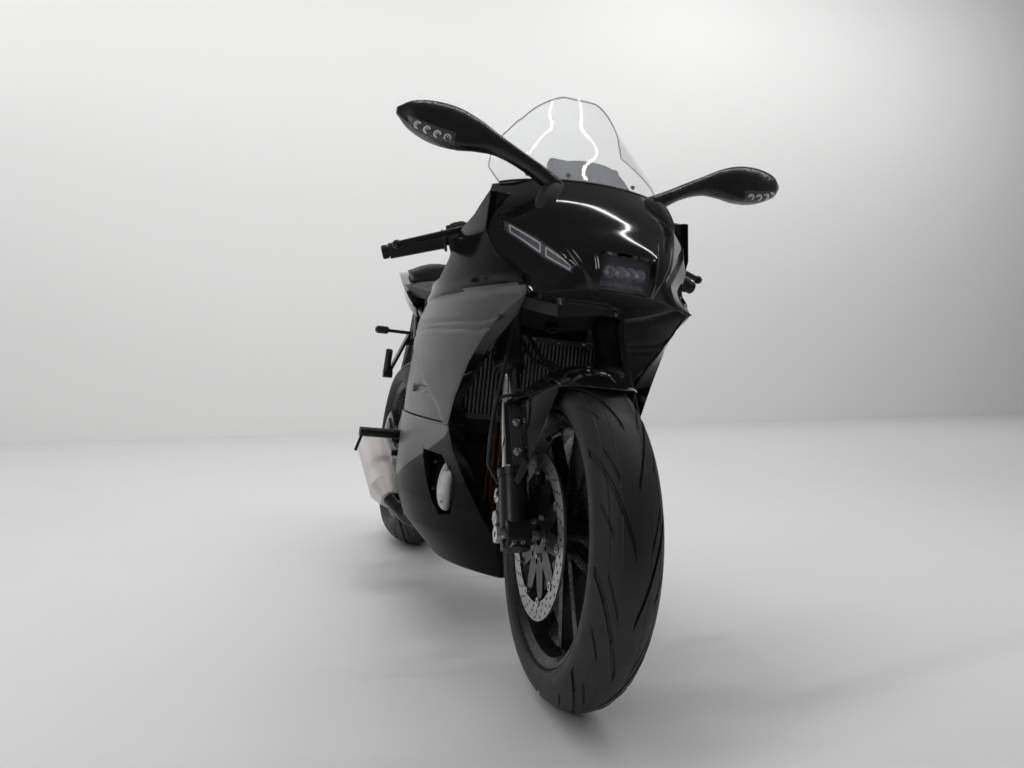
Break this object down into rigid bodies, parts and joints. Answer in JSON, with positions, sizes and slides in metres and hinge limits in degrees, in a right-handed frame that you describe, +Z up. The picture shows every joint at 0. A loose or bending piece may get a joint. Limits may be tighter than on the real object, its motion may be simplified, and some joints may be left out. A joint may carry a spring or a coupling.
{
  "type": "sport motorcycle",
  "caption": "Fully faired two-wheeled road motorcycle leaning on its side stand, with steered fork, turning wheels, folding stand, twin-disc front brake, bubble screen and stub exhaust.",
  "frame": {"origin": "on the ground under the middle of the machine's box as it stands on its side stand", "axes": "+X towards the front wheel, +Y to the rider's left, the side it leans to, +Z up"},
  "size_m": [2.0645, 0.7804, 1.1577],
  "materials": {
    "axle_steel": "zinc plated steel",
    "black_alloy": "black powder coat on cast alloy",
    "chrome_tube": "hard chrome",
    "clear_screen": "clear acrylic",
    "disc_steel": "ground stainless steel",
    "engine_alloy": "dark painted casting",
    "fairing_black": "gloss black lacquer with a metallic grey sheen",
    "frame_paint": "black paint on steel",
    "gloss_black": "gloss black lacquer",
    "grip_rubber": "ribbed black rubber",
    "header_steel": "heat-tinted stainless steel",
    "lamp_lens": "clear lens over a dark lamp housing",
    "matte_black": "grained black plastic",
    "muffler_steel": "bead-blasted stainless steel",
    "radiator_alloy": "black painted fins",
    "red_lens": "clear red lens",
    "seat_vinyl": "grained black vinyl over foam",
    "sprocket_steel": "oiled steel",
    "tyre_rubber": "moulded tread rubber, matt"
  },
  "bodies": {
    "root": {"rear_axle": "axle_steel", "fuel_tank": "gloss_black", "fuel_cap": "axle_steel", "rider_seat": "seat_vinyl", "passenger_seat": "seat_vinyl", "main_frame": "frame_paint", "subframe": "frame_paint", "engine_block": "engine_alloy", "cylinder_head": "engine_alloy", "engine_covers": "engine_alloy", "front_sprocket": "sprocket_steel", "chain": "sprocket_steel", "radiator": "radiator_alloy", "exhaust_header": "header_steel", "muffler": "muffler_steel", "swingarm": "black_alloy", "axle_blocks": "black_alloy", "rear_shock": "frame_paint", "rear_caliper": "black_alloy", "tail_fairing": "gloss_black", "tail_lamp": "red_lens", "rear_mudguard": "matte_black", "rear_indicators": "matte_black", "side_fairing_left": "fairing_black", "side_fairing_right": "fairing_black", "belly_pan": "fairing_black", "front_cowl": "gloss_black", "headlamps": "lamp_lens", "windscreen": "clear_screen", "mirror_left": "matte_black", "mirror_right": "matte_black", "instrument_panel": "matte_black", "cowl_stay": "frame_paint", "rider_footrests": "black_alloy", "passenger_footrests": "black_alloy", "stand_bracket": "frame_paint"},
    "steering": {"triple_clamps": "black_alloy", "fork_outer_tubes": "black_alloy", "fork_inner_tubes": "chrome_tube", "fork_bottoms": "black_alloy", "front_axle": "axle_steel", "front_mudguard": "gloss_black", "front_calipers": "black_alloy", "handlebars": "black_alloy", "grips": "grip_rubber", "levers": "black_alloy", "hand_controls": "matte_black", "brake_hoses": "grip_rubber"},
    "front_wheel": {"front_tyre": "tyre_rubber", "front_rim": "black_alloy", "front_discs": "disc_steel"},
    "rear_wheel": {"rear_tyre": "tyre_rubber", "rear_rim": "black_alloy", "rear_disc": "disc_steel", "rear_sprocket": "sprocket_steel"},
    "side_stand": {"side_stand": "frame_paint"}
  },
  "joints": [
    {"name": "steering", "type": "hinge", "parent": "root", "child": "steering", "pos_m": [0.4969, -0.02973, 0.73902], "axis": [-0.4015, 0.0989, 0.9105], "range_deg": [-26.5, 33.5]},
    {"name": "front_wheel_spin", "type": "hinge", "parent": "steering", "child": "front_wheel", "pos_m": [0.73241, -0.07985, 0.29918], "axis": [0.0559, 0.9949, -0.0834], "continuous": true},
    {"name": "rear_wheel_spin", "type": "hinge", "parent": "root", "child": "rear_wheel", "pos_m": [-0.66253, -0.07592, 0.31374], "axis": [0, 0.9942, -0.108], "continuous": true},
    {"name": "side_stand_fold", "type": "hinge", "parent": "root", "child": "side_stand", "pos_m": [-0.09752, 0.08319, 0.18586], "axis": [0.1523, 0.8131, 0.5619], "range_deg": [0, 95]}
  ]
}
